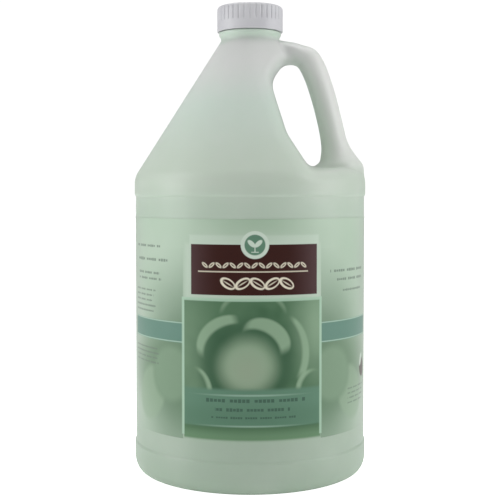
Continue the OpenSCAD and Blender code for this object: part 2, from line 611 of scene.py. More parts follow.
class Chart:
    """Values over the jug's middle plane, read between grid points."""

    step = 0.5
    x0, x1 = -30.0, 110.0
    z0, z1 = 165.0, 305.0

    def __init__(self, values: dict[str, np.ndarray]) -> None:
        """Keep the grids.

        Args:
            values: A grid by name, each over x and then z.
        """
        self.values = values

    @classmethod
    def grid(cls) -> tuple[np.ndarray, np.ndarray]:
        """Make the grid's coordinates.

        Returns:
            The x and z of every grid point.
        """
        xs = np.arange(cls.x0, cls.x1 + 1e-6, cls.step)
        zs = np.arange(cls.z0, cls.z1 + 1e-6, cls.step)
        return np.meshgrid(xs, zs, indexing="ij")

    def read(self, name: str, x: np.ndarray, z: np.ndarray) -> np.ndarray:
        """Read one grid between its points.

        Args:
            name: The grid's name.
            x: Where to read it.
            z: Where to read it.

        Returns:
            The values.
        """
        g = self.values[name]
        fx = np.clip((x - self.x0) / self.step, 0, g.shape[0] - 1.001)
        fz = np.clip((z - self.z0) / self.step, 0, g.shape[1] - 1.001)
        i, j = fx.astype(int), fz.astype(int)
        u, v = fx - i, fz - j
        return (
            g[i, j] * (1 - u) * (1 - v)
            + g[i + 1, j] * u * (1 - v)
            + g[i, j + 1] * (1 - u) * v
            + g[i + 1, j + 1] * u * v
        )


class ShoulderField:
    """Signed distance to the jug's shoulder, finger gap and handle."""

    def __init__(self, sizes: JugSizes) -> None:
        """Work out the charts.

        Args:
            sizes: The jug's sizes.
        """
        self.sizes = sizes
        outline = self.outline()
        self.profile_z = np.array([p[1] for p in outline])
        self.profile_r = np.array([p[0] for p in outline])
        x, z = Chart.grid()
        angles = np.radians(np.arange(0, 360, 0.5))
        gap = np.full(x.shape, -1e9)
        for a in angles:
            reach = max(cx * math.cos(a) + cz * math.sin(a) + r for cx, cz, r in GAP_CIRCLES)
            gap = np.maximum(gap, x * math.cos(a) + z * math.sin(a) - reach)
        gap = blur(blur(gap, 0, 4.0), 1, 4.0)
        rows = self.smooth_sections(28)
        best = np.full(x.shape, 1e9)
        across = np.zeros_like(x)
        past = np.zeros_like(x)
        half_w = np.ones_like(x)
        half_d = np.ones_like(x)
        for ex, ez, tilt, w, d in rows:
            c, s = math.cos(math.radians(tilt)), math.sin(math.radians(tilt))
            u = (x - ex) * c + (z - ez) * s - w
            off = (z - ez) * c - (x - ex) * s
            near = np.hypot(off, np.maximum(np.abs(u) - w, 0))
            closer = near < best
            best = np.where(closer, near, best)
            across = np.where(closer, u, across)
            past = np.where(closer, np.abs(off), past)
            half_w = np.where(closer, w, half_w)
            half_d = np.where(closer, d, half_d)
        self.chart = Chart(
            {"gap": gap, "across": across, "past": past, "half_w": half_w, "half_d": half_d}
        )

    def outline(self) -> list[Point]:
        """Outline of the shoulder, the cone and the waist of the neck.

        Returns:
            Radius and height of each point, from the bottom up.
        """
        s = self.sizes
        points = [(s.bumper_r, s.panel_z1 + s.step_h)]
        points += arc(s.bumper_r - s.shoulder_r, s.shoulder_z, s.shoulder_r, 0, s.slope, 16)
        points += [
            (s.cone_top_r + 0.35, s.cone_z1 - 0.55),
            (s.cone_top_r - 0.1, s.cone_z1 + 0.2),
            (s.waist_r + 0.15, s.cone_z1 + 1.2),
            (s.waist_r, s.cone_z1 + 1.7),
            (s.waist_r + 0.1, s.cone_z1 + 2.4),
            (s.waist_r + 0.3, s.cone_z1 + 3.0),
            (s.bead_r, s.cone_z1 + 5.0),
        ]
        return points

    @staticmethod
    def smooth_sections(count: int) -> np.ndarray:
        """Sections of the handle with a smooth curve through them.

        Args:
            count: Steps between two given sections.

        Returns:
            One row for each section.
        """
        rows = np.array(HANDLE_SECTIONS)
        out = []
        for i in range(len(rows) - 1):
            a, b = rows[max(i - 1, 0)], rows[i]
            c, d = rows[i + 1], rows[min(i + 2, len(rows) - 1)]
            for k in range(count):
                t = k / count
                out.append(
                    0.5
                    * (
                        2 * b
                        + (c - a) * t
                        + (2 * a - 5 * b + 4 * c - d) * t * t
                        + (3 * b - a - 3 * c + d) * t * t * t
                    )
                )
        out.append(rows[-1])
        return blur(np.array(out), 0, count / 4)

    def body(self, p: np.ndarray) -> np.ndarray:
        """Distance to the body of revolution.

        Args:
            p: Points, one row each.

        Returns:
            The distances.
        """
        r = np.hypot(p[:, 0], p[:, 1])
        here = np.interp(p[:, 2], self.profile_z, self.profile_r)
        up = np.interp(p[:, 2] + 0.4, self.profile_z, self.profile_r)
        down = np.interp(p[:, 2] - 0.4, self.profile_z, self.profile_r)
        slope = (up - down) / 0.8
        return (r - here) / np.sqrt(1 + slope * slope)

    def handle(self, p: np.ndarray) -> np.ndarray:
        """Distance to the handle's tube.

        Args:
            p: Points, one row each.

        Returns:
            The distances.
        """
        x, y, z = p.T
        u = self.chart.read("across", x, z)
        w = self.chart.read("half_w", x, z)
        d = self.chart.read("half_d", x, z)
        past = self.chart.read("past", x, z)
        k = np.sqrt((u / w) ** 2 + (y / d) ** 2) + 1e-9
        slope = np.sqrt((u / w**2) ** 2 + (y / d**2) ** 2) + 1e-9
        near = k * (k - 1) / slope
        beyond = np.where(near > 0, np.hypot(near, past), past)
        return np.where(past > 0.6, beyond, near)

    def __call__(self, p: np.ndarray) -> np.ndarray:
        """Distance to the whole shoulder.

        Args:
            p: Points, one row each.

        Returns:
            The distances, below zero inside.
        """
        x, z = p[:, 0], p[:, 2]
        gap = self.chart.read("gap", x, z) - 0.3 - 0.075 * np.abs(p[:, 1])
        cut = -soft_min(-self.body(p), gap, np.full(len(p), 8.0))
        blend = np.interp(z, [196.0, 203.0, 208.0, 216.0, 262.0, 279.0, 284.5], [1.0, 2.5, 4.5, 6.5, 6.0, 3.5, 0.6])
        return soft_min(cut, self.handle(p), blend)


def surface_net(
    field: Field, low: Sequence[float], counts: Sequence[int], step: float
) -> tuple[np.ndarray, np.ndarray]:
    """Cover a field's zero surface with four-sided faces.

    The shoulder runs into a handle round a hole with fillets of changing size, which
    the mesh operators can't give, so this follows the field's sign over a grid.

    Args:
        field: The distance field.
        low: The grid's lowest corner.
        counts: Number of cells along each axis.
        step: Size of a cell.

    Returns:
        The vertices at the cells' middles, and the faces' vertex numbers.
    """
    nodes = [low[i] + step * np.arange(counts[i] + 1) for i in range(3)]
    inside = np.empty([c + 1 for c in counts], bool)
    gx, gy = np.meshgrid(nodes[0], nodes[1], indexing="ij")
    for k, z in enumerate(nodes[2]):
        p = np.column_stack([gx.ravel(), gy.ravel(), np.full(gx.size, z)])
        inside[:, :, k] = (field(p) < 0).reshape(gx.shape)
    total = np.zeros(counts, int)
    for dx in (0, 1):
        for dy in (0, 1):
            for dz in (0, 1):
                total += inside[
                    dx : dx + counts[0], dy : dy + counts[1], dz : dz + counts[2]
                ]
    active = (total > 0) & (total < 8)
    number = np.full(counts, -1)
    number[active] = np.arange(active.sum())
    verts = np.array(low) + (np.argwhere(active) + 0.5) * step
    quads = []
    for axis in range(3):
        b, c = (axis + 1) % 3, (axis + 2) % 3
        lower = [slice(None)] * 3
        upper = [slice(None)] * 3
        lower[axis], upper[axis] = slice(0, -1), slice(1, None)
        crossing = np.argwhere(inside[tuple(lower)] != inside[tuple(upper)])
        ok = (
            (crossing[:, b] > 0)
            & (crossing[:, b] < counts[b])
            & (crossing[:, c] > 0)
            & (crossing[:, c] < counts[c])
        )
        crossing = crossing[ok]
        corners = []
        for db, dc in ((-1, -1), (0, -1), (0, 0), (-1, 0)):
            cell = crossing.copy()
            cell[:, b] += db
            cell[:, c] += dc
            corners.append(number[cell[:, 0], cell[:, 1], cell[:, 2]])
        quads.append(np.column_stack(corners))
    return verts, np.vstack(quads)


def settle(points: np.ndarray, field: Field, rounds: int) -> np.ndarray:
    """Move points onto a field's zero surface.

    Args:
        points: The points, one row each.
        field: The distance field.
        rounds: Number of steps.

    Returns:
        The moved points.
    """
    p = points.copy()
    e = 0.25
    for _ in range(rounds):
        value = field(p)
        slope = np.empty_like(p)
        for i in range(3):
            d = np.zeros(3)
            d[i] = e
            slope[:, i] = (field(p + d) - field(p - d)) / (2 * e)
        size = np.maximum((slope**2).sum(1), 0.25)
        p -= np.clip(value / size, -1.5, 1.5)[:, None] * slope
    return p


class Shell:
    """The jug's outer skin from the base to the waist of the neck, in mm."""

    low_z = 185.5
    high_z = 286.2
    layers = 74
    spin_steps = 224

    def __init__(self, sizes: JugSizes) -> None:
        """Keep the sizes.

        Args:
            sizes: The jug's sizes.
        """
        self.sizes = sizes

    def lower_outline(self) -> list[Point]:
        """Outline from the middle of the base up to the upper bumper ring.

        Returns:
            Radius and height of each point.
        """
        s = self.sizes
        ring_out = s.bumper_r - s.heel_w
        ring_in = ring_out - s.ring_w
        dome = [
            (ring_in * t / 10, s.push_up * (1 - (t / 10) ** 2)) for t in range(0, 10)
        ]
        points = dome + [(ring_in - 0.5, 0.18), (ring_in + 0.6, 0.0)]
        points += [
            (ring_out + s.heel_w * math.sin(a), s.heel_h - s.heel_h * math.cos(a))
            for a in np.radians(np.linspace(0, 90, 13))
        ]
        low, high = (s.bumper_r, s.panel_z0 - s.step_h), (s.panel_r, s.panel_z0)
        points += [low] + s_curve(low, high) + [high]
        points += [(s.panel_r, s.panel_z0 + (s.panel_z1 - s.panel_z0) * i / 6) for i in range(1, 7)]
        low, high = (s.panel_r, s.panel_z1), (s.bumper_r, s.panel_z1 + s.step_h)
        points += s_curve(low, high) + [high]
        return points

    def middle(self) -> tuple[np.ndarray, np.ndarray]:
        """Net over the shoulder, the finger gap and the handle.

        Returns:
            The vertices and the faces' vertex numbers.
        """
        field = ShoulderField(self.sizes)
        step = (self.high_z - self.low_z) / self.layers
        reach = math.ceil(80 / step)
        low = (-reach * step, -reach * step, self.low_z - step / 2)
        verts, quads = surface_net(field, low, (2 * reach, 2 * reach, self.layers + 1), step)
        ends = (verts[:, 2] < self.low_z + 1e-6) | (verts[:, 2] > self.high_z - 1e-6)
        level = verts[:, 2].copy()

        def hold(p: np.ndarray) -> np.ndarray:
            """Keep both open ends level and round.

            Args:
                p: The vertices.

            Returns:
                The vertices with their ends put right.
            """
            r = np.interp(level[ends], field.profile_z, field.profile_r)
            now = np.hypot(p[ends, 0], p[ends, 1])
            p[ends, 0] *= r / now
            p[ends, 1] *= r / now
            p[ends, 2] = level[ends]
            return p

        pairs = np.vstack([quads[:, [0, 1]], quads[:, [1, 2]], quads[:, [2, 3]], quads[:, [3, 0]]])
        pairs = np.vstack([pairs, pairs[:, ::-1]])
        degree = np.bincount(pairs[:, 0], minlength=len(verts))
        verts = hold(settle(verts, field, 6))
        for _ in range(4):
            mean = np.column_stack(
                [np.bincount(pairs[:, 0], verts[pairs[:, 1], i], len(verts)) for i in range(3)]
            ) / np.maximum(degree, 1)[:, None]
            verts = hold(settle(verts + 0.5 * (mean - verts), field, 2))
        return verts, quads

    def build(self, mesh: bmesh.types.BMesh) -> None:
        """Add the skin.

        Args:
            mesh: The mesh to add to.
        """
        lower = spin_profile(mesh, self.lower_outline(), self.spin_steps)
        points, quads = self.middle()
        made = [mesh.verts.new(p) for p in points]
        for quad in quads:
            mesh.faces.new([made[i] for i in quad])
        bmesh.ops.delete(mesh, geom=[v for v in made if not v.link_faces], context="VERTS")
        made = [v for v in made if v.is_valid]
        zip_loops(
            mesh,
            boundary_loop(lower, self.sizes.panel_z1 + self.sizes.step_h, 0.2),
            boundary_loop(made, self.low_z, 0.2),
        )
        bmesh.ops.recalc_face_normals(mesh, faces=mesh.faces[:])
        side = [f for f in mesh.faces if 40 < f.calc_center_median().z < 160]
        if sum(f.normal.dot(f.calc_center_median()) for f in side) < 0:
            bmesh.ops.reverse_faces(mesh, faces=mesh.faces[:])
        mesh.normal_update()


# --------------------------------------------------------------------------- finishes


def milky_and_painted_light_group() -> bpy.types.NodeTree:
    """Colour of filled milky plastic by height, with painted light on the handle's side, shared by the jug and the
    label.

    Returns:
        The node group: point in, colour and cloud noise out.
    """
    g, start, end = new_group(
        "milky_plastic_and_painted_light",
        (("Point", "NodeSocketVector"),),
        (("Color", "NodeSocketColor"), ("Cloud", "NodeSocketFloat")),
    )
    split = g.add("ShaderNodeSeparateXYZ")
    g.put(split.inputs[0], start.outputs[0])
    cloud = g.noise(start.outputs[0], 26.0, 3.0)
    wobble = g.math("MULTIPLY_ADD", cloud, 0.012, -0.006)
    z = g.math("ADD", split.outputs[2], wobble)
    full = g.mix(g.ramp(z, 0.060, 0.215), Tint(168, 190, 169), Tint(187, 209, 188))
    full = g.mix(g.ramp(z, 0.172, 0.192), full, Tint(196, 214, 195))
    upper = g.mix(g.ramp(z, 0.196, 0.248), full, Tint(201, 221, 206))
    empty = g.mix(g.ramp(z, 0.236, 0.272), upper, Tint(214, 220, 214))
    # Painted light: the handle and the shoulder and cone beside it are painted paler than the empty plastic,
    # standing in for light that falls there.
    handle_painted_light = g.math("MULTIPLY", g.ramp(split.outputs[0], 0.026, 0.046), g.ramp(z, 0.190, 0.212))
    empty = g.mix(g.math("MULTIPLY", handle_painted_light, 0.85), empty, Tint(228, 234, 226))
    neck = g.mix(g.ramp(z, 0.280, 0.286), empty, Tint(197, 215, 200))
    soft = g.mix(g.math("MULTIPLY", g.ramp(cloud, 0.35, 0.75), 0.10), neck, Tint(222, 230, 220))
    g.put(end.inputs[0], soft)
    g.put(end.inputs[1], cloud)
    return g.tree


@dataclass(frozen=True)
class MilkyPlastic:
    """Blown natural polyethylene with shampoo behind it."""

    roughness: float = 0.38
    subsurface: float = 0.30

    def make(self, tint: bpy.types.NodeTree) -> bpy.types.Material:
        """Make the material.

        Args:
            tint: The shared colour group.

        Returns:
            The material.
        """
        material, g, shader = new_material("jug_plastic")
        point = g.object_point()
        group = g.add("ShaderNodeGroup", node_tree=tint)
        g.put(group.inputs[0], point)
        g.put(shader.inputs["Base Color"], group.outputs[0])
        grain = g.noise(point, 900.0, 3.0)
        g.put(shader.inputs["Roughness"], g.math("MULTIPLY_ADD", grain, 0.12, self.roughness - 0.06))
        shader.inputs["Subsurface Weight"].default_value = self.subsurface
        shader.inputs["Subsurface Radius"].default_value = (0.006, 0.008, 0.006)
        shader.inputs["Subsurface Scale"].default_value = 1.0
        shader.inputs["IOR"].default_value = 1.5
        split = g.add("ShaderNodeSeparateXYZ")
        g.put(split.inputs[0], point)
        seam = g.ramp(g.math("ABSOLUTE", split.outputs[1]), 0.0006, 0.0002)
        sag = g.noise(point, 45.0, 2.0)
        raised = g.math("MULTIPLY", seam, 0.5)
        fine = g.math("MULTIPLY", grain, 0.06)
        height = g.math("ADD", raised, g.math("MULTIPLY_ADD", sag, 0.5, fine))
        g.put(shader.inputs["Normal"], g.bump(height, 0.35, 0.0006))
        return material


def box_group() -> bpy.types.NodeTree:
    """Mask of an upright box on the label.

    Returns:
        The node group: place, four sides and softness in, mask out.
    """
    names = ("U", "Z", "Left", "Right", "Low", "High", "Soft")
    g, start, end = new_group(
        "label_box", [(n, "NodeSocketFloat") for n in names], (("Mask", "NodeSocketFloat"),)
    )
    u, z, left, right, low, high, soft = start.outputs[:7]
    across = g.math("MINIMUM", g.math("SUBTRACT", u, left), g.math("SUBTRACT", right, u))
    up = g.math("MINIMUM", g.math("SUBTRACT", z, low), g.math("SUBTRACT", high, z))
    inside = g.math("DIVIDE", g.math("MINIMUM", across, up), soft)
    g.put(end.inputs[0], g.ramp(inside, -1.0, 1.0))
    return g.tree


def oval_group() -> bpy.types.NodeTree:
    """Mask of a turned oval on the label.

    Returns:
        The node group: place, middle, radii, turn and softness in, mask out.
    """
    names = ("U", "Z", "Middle U", "Middle Z", "Radius U", "Radius Z", "Turn", "Soft")
    g, start, end = new_group(
        "label_oval", [(n, "NodeSocketFloat") for n in names], (("Mask", "NodeSocketFloat"),)
    )
    u, z, mu, mz, ru, rz, turn, soft = start.outputs[:8]
    du, dz = g.math("SUBTRACT", u, mu), g.math("SUBTRACT", z, mz)
    c, s = g.math("COSINE", turn), g.math("SINE", turn)
    a = g.math("ADD", g.math("MULTIPLY", du, c), g.math("MULTIPLY", dz, s))
    b = g.math("SUBTRACT", g.math("MULTIPLY", dz, c), g.math("MULTIPLY", du, s))
    a, b = g.math("DIVIDE", a, ru), g.math("DIVIDE", b, rz)
    far = g.math("SQRT", g.math("ADD", g.math("MULTIPLY", a, a), g.math("MULTIPLY", b, b)))
    inside = g.math("MULTIPLY", g.math("SUBTRACT", 1.0, far), g.math("MINIMUM", ru, rz))
    inside = g.math("DIVIDE", inside, soft)
    g.put(end.inputs[0], g.ramp(inside, -1.0, 1.0))
    return g.tree


def bars_group() -> bpy.types.NodeTree:
    """Mask of a row of plain short bars on the label, with gaps of uneven length.

    Returns:
        The node group: place, row and cell size in, mask out.
    """
    names = ("U", "Z", "Left", "Right", "Middle", "Half", "Cell")
    g, start, end = new_group(
        "label_bars", [(n, "NodeSocketFloat") for n in names], (("Mask", "NodeSocketFloat"),)
    )
    u, z, left, right, middle, half, cell = start.outputs[:7]
    across = g.math("MINIMUM", g.math("SUBTRACT", u, left), g.math("SUBTRACT", right, u))
    place = g.math("DIVIDE", u, cell)
    number = g.math("ADD", g.math("FLOOR", place), g.math("MULTIPLY", middle, 7.3))
    random = g.add("ShaderNodeTexWhiteNoise", noise_dimensions="1D")
    g.put(random.inputs["W"], number)
    word = g.add("ShaderNodeTexWhiteNoise", noise_dimensions="1D")
    g.put(word.inputs["W"], g.math("FLOOR", g.math("DIVIDE", number, 6.0)))
    gap = g.math("LESS_THAN", g.math("FRACT", g.math("DIVIDE", number, 6.0)), 0.12)
    height = g.math("MULTIPLY", half, g.math("MULTIPLY_ADD", random.outputs["Value"], 0.35, 0.65))
    up = g.math("SUBTRACT", height, g.math("ABSOLUTE", g.math("SUBTRACT", z, middle)))
    bar = g.math("SUBTRACT", 0.40, g.math("ABSOLUTE", g.math("SUBTRACT", g.math("FRACT", place), 0.5)))
    inside = g.math("MINIMUM", g.math("MINIMUM", across, up), g.math("MULTIPLY", bar, cell))
    mask = g.ramp(g.math("DIVIDE", inside, 0.22), -1.0, 1.0)
    g.put(end.inputs[0], g.math("MULTIPLY", mask, g.math("SUBTRACT", 1.0, gap)))
    return g.tree


class Artwork:
    """Paints the label's plain shapes one over another."""

    def __init__(self, g: Graph, u: object, z: object, base: object) -> None:
        """Start from the bare film.

        Args:
            g: The material's graph.
            u: Distance round the label from the middle of its front, in mm.
            z: Height in mm.
            base: The bare film's colour.
        """
        self.g, self.u, self.z = g, u, z
        self.color = base
        self.ink: object = 0.0
        self.point: object = None
        self.groups = {"box": box_group(), "oval": oval_group(), "bars": bars_group()}

    def shape(self, kind: str, *values: float) -> bpy.types.NodeSocket:
        """Add one shape's mask.

        Args:
            kind: "box", "oval" or "bars".
            *values: The group's inputs after U and Z.

        Returns:
            The mask.
        """
        node = self.g.add("ShaderNodeGroup", node_tree=self.groups[kind])
        self.g.put(node.inputs[0], self.u)
        self.g.put(node.inputs[1], self.z)
        for i, value in enumerate(values):
            node.inputs[i + 2].default_value = value
        return node.outputs[0]

    def less(self, a: object, b: object) -> bpy.types.NodeSocket:
        """Take one mask out of another.

        Args:
            a: First mask.
            b: Mask to take away.

        Returns:
            The mask.
        """
        return self.g.math("MULTIPLY", a, self.g.math("SUBTRACT", 1.0, b))

    def both(self, *masks: object) -> bpy.types.NodeSocket:
        """Multiply masks.

        Args:
            *masks: The masks.

        Returns:
            The product.
        """
        out = masks[0]
        for mask in masks[1:]:
            out = self.g.math("MULTIPLY", out, mask)
        return out

    def paint(self, mask: object, tint: object, strength: float = 1.0) -> None:
        """Paint a mask over what is there.

        Args:
            mask: Where to paint.
            tint: The colour.
            strength: How strongly.
        """
        share = self.g.math("MULTIPLY", mask, strength) if strength != 1.0 else mask
        self.color = self.g.mix(share, self.color, tint)


@dataclass(frozen=True)
class LabelFilm:
    """Clear film with generic printed shapes."""

    radius: float = 76.45
    left: float = -43.3
    right: float = 46.1
    brown: Tint = Tint(52, 16, 8)
    plum: Tint = Tint(74, 48, 50)
    cream: Tint = Tint(228, 222, 200)
    mint: Tint = Tint(206, 222, 207)
    line: Tint = Tint(172, 205, 180)
    deep: Tint = Tint(57, 96, 66)
    moss: Tint = Tint(82, 118, 87)
    petal: Tint = Tint(144, 174, 144)
    sage: Tint = Tint(146, 172, 144)
    teal: Tint = Tint(96, 135, 112)
    dark: Tint = Tint(62, 92, 78)

    def plate(self, art: Artwork) -> None:
        """Paint the plate with its ornament.

        Args:
            art: The artwork.
        """
        g = art.g
        art.paint(art.shape("box", -38.5, 44.5, 152.0, 158.4, 0.8), self.mint, 0.5)
        art.paint(art.shape("box", -41.5, 46.0, 119.5, 152.8, 2.0), self.mint, 0.35)
        art.paint(art.shape("oval", 2.0, 168.0, 24.0, 9.0, 0.0, 8.0), Tint(124, 162, 126), 0.35)
        side = g.ramp(g.math("ABSOLUTE", g.math("SUBTRACT", art.u, 2.0)), 20.0, 46.0)
        plate = art.shape("box", -37.4, 43.2, 122.2, 152.8, 0.25)
        art.ink = plate
        art.paint(plate, g.mix(side, self.brown, self.plum))
        art.paint(art.shape("box", -32.5, 36.7, 136.0, 136.8, 0.2), self.cream, 0.75)
        for k in range(15):
            middle = -28.0 + 4.4 * k
            turn = 0.7 if k % 2 else -0.7
            leaf = art.shape("oval", middle, 140.3, 2.3, 1.05, turn, 0.25)
            vein = art.shape("oval", middle, 140.3, 1.2, 0.3, turn, 0.25)
            art.paint(art.less(leaf, vein), self.cream, 0.9)
        for k in range(5):
            middle = -13.5 + 9.0 * k
            turn = 0.55 if k % 2 else -0.55
            outer = art.shape("oval", middle, 129.3, 5.2, 3.0, turn, 0.25)
            inner = art.shape("oval", middle + 0.4, 129.3, 3.9, 1.9, turn, 0.25)
            art.paint(art.less(outer, inner), self.cream)
            art.paint(art.shape("oval", middle, 129.3, 3.0, 0.35, turn, 0.25), self.cream, 0.9)
        art.paint(art.shape("oval", 3.0, 152.6, 8.6, 8.4, 0.0, 0.3), self.mint)
        art.paint(art.shape("oval", 3.0, 152.6, 6.3, 6.2, 0.0, 0.3), self.teal)
        for side in (-1, 1):
            art.paint(art.shape("oval", 3.0 + side * 2.1, 153.4, 2.9, 1.4, side * 0.75, 0.25), self.mint)
        art.paint(art.shape("box", 2.7, 3.3, 148.4, 152.6, 0.2), self.mint)
        art.paint(art.shape("box", 0.8, 5.2, 148.0, 148.5, 0.2), self.mint)

    def picture(self, art: Artwork) -> None:
        """Paint the picture with its soft petals.

        Args:
            art: The artwork.
        """
        g = art.g
        panel = art.shape("box", self.left, self.right, 40.5, 119.6, 0.3)
        art.ink = panel
        swell = g.noise(art.point, 34.0, 2.0)
        ground = g.mix(g.ramp(swell, 0.35, 0.68), self.deep, self.moss)
        art.paint(panel, ground)
        lit = art.both(panel, art.shape("oval", -40.0, 84.0, 14.0, 44.0, 0.0, 14.0))
        art.paint(lit, self.petal, 0.35)
        lit = art.both(panel, art.shape("oval", 44.0, 104.0, 14.0, 24.0, 0.0, 14.0))
        art.paint(lit, self.petal, 0.8)
        ring = art.less(
            art.shape("oval", -1.0, 80.0, 28.0, 27.0, 0.0, 6.0), art.shape("oval", -1.5, 79.5, 18.0, 17.0, 0.0, 9.0)
        )
        art.paint(art.both(panel, ring), Tint(56, 92, 66), 0.8)
        glow = art.shape("oval", -1.5, 79.5, 16.0, 15.5, 0.0, 7.0)
        art.paint(art.both(panel, glow), self.sage, 0.95)
        core = art.shape("oval", -1.5, 76.5, 10.0, 9.0, 0.0, 11.0)
        art.paint(art.both(panel, core), Tint(152, 168, 144), 0.7)
        petals = (
            ((-13.0, 92.5, 21.0, 17.5, 0.35), (-9.0, 88.6, 20.5, 16.5, 0.30), (-24.0, 102.0, 16.0, 17.0)),
            ((10.0, 95.5, 16.0, 12.0, -0.55), (5.5, 90.2, 14.5, 10.5, -0.62), (14.0, 101.0, 17.0, 14.0)),
            ((19.0, 88.0, 18.5, 24.0, 0.15), (14.6, 88.5, 18.2, 24.5, 0.12), (35.0, 92.0, 14.0, 20.0)),
            ((2.0, 109.0, 21.0, 17.0, 0.0), (2.0, 107.4, 19.6, 16.0, 0.0), (2.0, 117.0, 24.0, 6.0)),
            ((-33.0, 66.0, 9.0, 13.0, 0.4), (-36.0, 66.0, 9.0, 13.0, 0.4), (-28.0, 70.0, 10.0, 8.0)),
            ((38.0, 66.0, 9.0, 11.0, -0.5), (41.0, 65.0, 9.0, 11.0, -0.5), (35.0, 70.0, 10.0, 7.0)),
        )
        for k, (outer, inner, window) in enumerate(petals):
            crescent = art.less(art.shape("oval", *outer, 0.9), art.shape("oval", *inner, 1.2))
            view = art.shape("oval", *window, 0.0, 3.0)
            art.paint(art.both(panel, crescent, view), self.petal, 0.6 if k == 3 else 0.9)
        art.paint(art.shape("box", self.left, self.right, 42.2, 65.3, 1.6), self.teal)
        art.paint(art.shape("box", self.left, self.right, 42.2, 54.0, 5.0), self.deep, 0.18)
        for middle, width in ((61.7, 0.5), (42.9, 0.5)):
            shine = art.shape("oval", 0.5, middle, 22.0, width, 0.0, 0.5)
            art.paint(shine, Tint(170, 200, 182), 0.6)
        rows = ((58.4, 1.25, -29.9, 34.7, 2.5), (52.9, 1.05, -21.5, 24.7, 2.1), (48.1, 0.7, -24.0, 28.6, 1.5))
        for middle, half, left, right, cell in rows:
            art.paint(art.shape("bars", left, right, middle, half, cell), self.dark, 0.85)
        foot = art.shape("box", self.left, self.right, 34.2, 42.2, 1.0)
        art.paint(foot, g.mix(g.ramp(art.z, 36.0, 43.0), Tint(104, 140, 106), Tint(78, 114, 82)))
        for u in (self.left, self.right):
            art.paint(art.shape("box", u - 0.9, u + 0.9, 36.0, 120.4, 0.4), self.line, 0.9)
        art.paint(art.shape("box", self.left, self.right, 118.5, 120.3, 0.4), self.line, 0.9)

    def sides(self, art: Artwork) -> None:
        """Paint the two side panels and the rows at the back.

        Args:
            art: The artwork.
        """
        for sign, edge in ((-1, self.left), (1, self.right)):
            near, far = (edge - 56.0, edge) if sign < 0 else (edge, edge + 56.0)
            wash = art.both(
                art.shape("box", near, far, 30.0, 150.0, 0.5),
                art.shape("oval", edge, 76.0, 28.0, 46.0, 0.0, 22.0),
            )
            art.paint(wash, self.moss, 0.85)
            low = art.both(
                art.shape("box", near, far, 34.0, 91.9, 0.5),
                art.shape("oval", edge + sign * 18.0, 74.0, 34.0, 20.0, 0.0, 14.0),
            )
            art.paint(low, Tint(110, 139, 111), 0.75)
            petal = art.shape("oval", edge + sign * 10.0, 72.0, 16.0, 17.0, 0.0, 3.0)
            petal = art.both(petal, art.shape("box", near, far, 34.0, 91.0, 0.4))
            art.paint(petal, Tint(130, 158, 131), 0.8)
            second = art.less(
                art.shape("oval", edge + sign * 30.0, 58.0, 14.0, 18.0, 0.5 * sign, 2.0),
                art.shape("oval", edge + sign * 10.0, 72.0, 17.0, 18.0, 0.0, 3.0),
            )
            art.paint(art.both(second, art.shape("box", near, far, 34.0, 91.0, 0.4)), Tint(150, 176, 149), 0.7)
            band = art.shape("box", near, far, 91.9, 104.6, 0.4)
            art.paint(band, Tint(98, 138, 124), 0.9)
            for z in (92.4, 104.2):
                art.paint(art.shape("box", near, far, z - 0.3, z + 0.3, 0.3), Tint(178, 208, 188), 0.8)
        ink = Tint(112, 128, 116)
        rows = [(150.5, -96.0, -63.0, 1.9), (142.0, -96.0, -56.0, 2.4)]
        rows += [(133.5, -92.0, -64.0, 1.9), (129.8, -92.0, -62.0, 1.9)]
        rows += [(122.5 - 3.3 * k, -98.0, -68.0 - 2.0 * (k % 3), 1.5) for k in range(5)]
        rows += [(135.5, 54.0, 96.0, 2.2), (130.0, 60.0, 96.0, 2.0), (123.0, 66.0, 92.0, 1.7)]
        rows += [(86.0 - 3.0 * k, -98.0, -66.0 + 1.5 * (k % 2), 1.3) for k in range(4)]
        rows += [(60.0 - 3.0 * k, 72.0, 98.0 - 2.0 * (k % 2), 1.3) for k in range(4)]
        for middle, left, right, cell in rows:
            art.paint(art.shape("bars", left, right, middle, cell * 0.42, cell), ink, 0.8)
        art.paint(art.shape("oval", 95.0, 71.0, 5.0, 6.5, 0.3, 0.6), self.plum, 0.8)
        art.paint(art.shape("oval", 93.0, 76.0, 2.0, 4.5, -0.5, 0.5), self.mint, 0.8)
        for u in (self.left, self.right):
            art.paint(art.shape("box", u - 0.9, u + 0.9, 36.0, 120.4, 0.4), self.line, 0.9)

    def rows_behind(self, art: Artwork) -> None:
        """Paint the rows of small marks at the back.

        Args:
            art: The artwork.
        """
        ink = Tint(112, 128, 116)
        rows = []
        for block in (-210.0, 118.0):
            rows += [(150.0 - 4.2 * k, block, block + 84.0 - 7.0 * (k % 4), 1.7) for k in range(8)]
            rows += [(84.0 - 4.2 * k, block, block + 80.0 - 6.0 * (k % 3), 1.7) for k in range(7)]
        for middle, left, right, cell in rows:
            art.paint(art.shape("bars", left, right, middle, cell * 0.42, cell), ink, 0.62)

